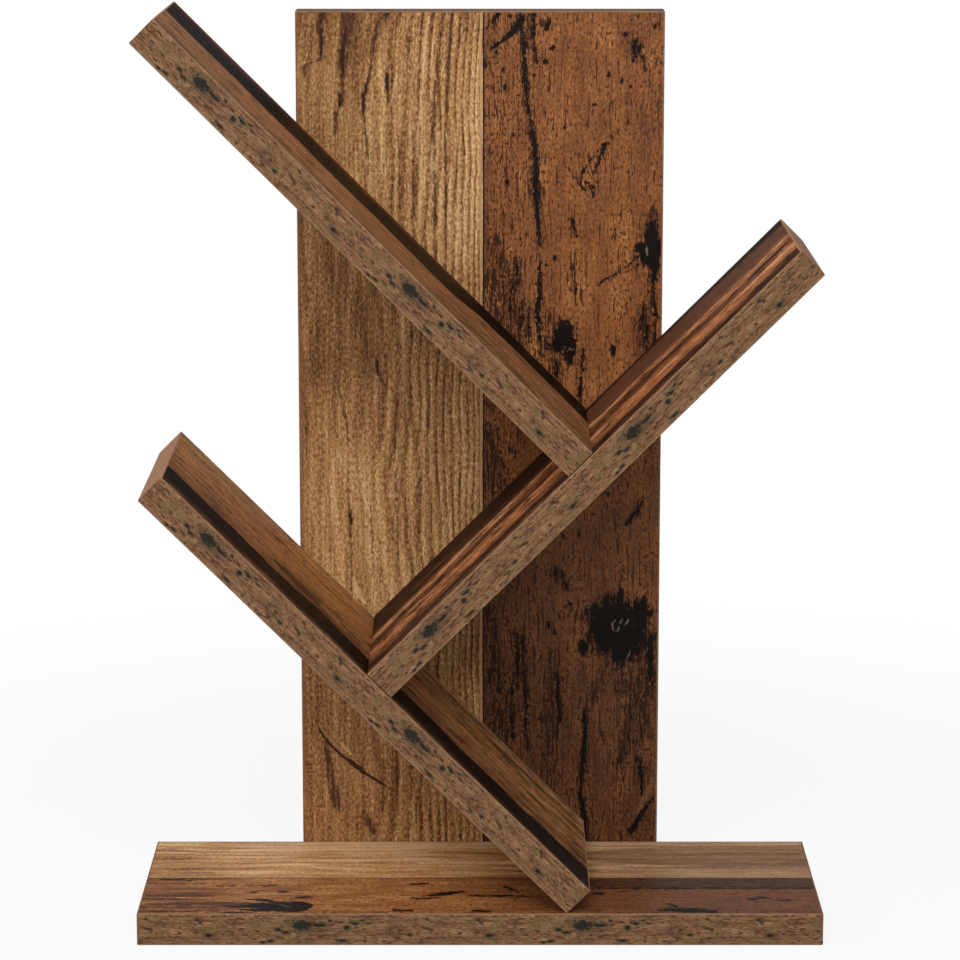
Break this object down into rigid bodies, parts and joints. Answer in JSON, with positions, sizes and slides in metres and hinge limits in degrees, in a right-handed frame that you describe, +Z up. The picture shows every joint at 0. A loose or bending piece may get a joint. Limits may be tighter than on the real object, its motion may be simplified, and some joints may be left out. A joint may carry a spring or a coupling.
{
  "type": "bookshelf",
  "caption": "Small desktop bookshelf shaped like a tree: an upright back board as trunk, sloping boards as branches to either side, and a flat base; books lie in the angles.",
  "frame": {"origin": "on the floor, under the middle of the whole shelf's box", "axes": "+Z up, -Y towards the user, +X to the right of someone facing the shelf"},
  "size_m": [0.31, 0.125, 0.4166],
  "materials": {
    "printed_board": "particle board under a satin paper printed as old rustic planks",
    "edge_strip": "thin satin edge strip printed as pale brown wood with darker flecks",
    "screw_steel": "bright zinc",
    "dowel_wood": "plain fluted beech"
  },
  "bodies": {
    "root": {"base_board": "printed_board", "base_front_edge_strip": "edge_strip", "base_back_edge_strip": "edge_strip", "base_left_edge_strip": "edge_strip", "base_right_edge_strip": "edge_strip", "back_panel": "printed_board", "panel_left_edge_strip": "edge_strip", "panel_right_edge_strip": "edge_strip", "panel_top_edge_strip": "edge_strip", "lower_left_branch": "printed_board", "lower_left_branch_front_edge_strip": "edge_strip", "lower_left_branch_back_edge_strip": "edge_strip", "lower_left_branch_tip_edge_strip": "edge_strip", "lower_left_branch_foot_edge_strip": "edge_strip", "right_branch": "printed_board", "right_branch_front_edge_strip": "edge_strip", "right_branch_back_edge_strip": "edge_strip", "right_branch_tip_edge_strip": "edge_strip", "right_branch_dowel_1": "dowel_wood", "right_branch_dowel_2": "dowel_wood", "upper_left_branch": "printed_board", "upper_left_branch_front_edge_strip": "edge_strip", "upper_left_branch_back_edge_strip": "edge_strip", "upper_left_branch_tip_edge_strip": "edge_strip", "upper_left_branch_dowel_1": "dowel_wood", "upper_left_branch_dowel_2": "dowel_wood", "base_screw_1": "screw_steel", "base_screw_2": "screw_steel", "base_screw_3": "screw_steel", "lower_left_branch_screw_1": "screw_steel", "lower_left_branch_screw_2": "screw_steel", "right_branch_screw_1": "screw_steel", "right_branch_screw_2": "screw_steel", "upper_left_branch_screw_1": "screw_steel", "upper_left_branch_screw_2": "screw_steel"}
  },
  "joints": []
}
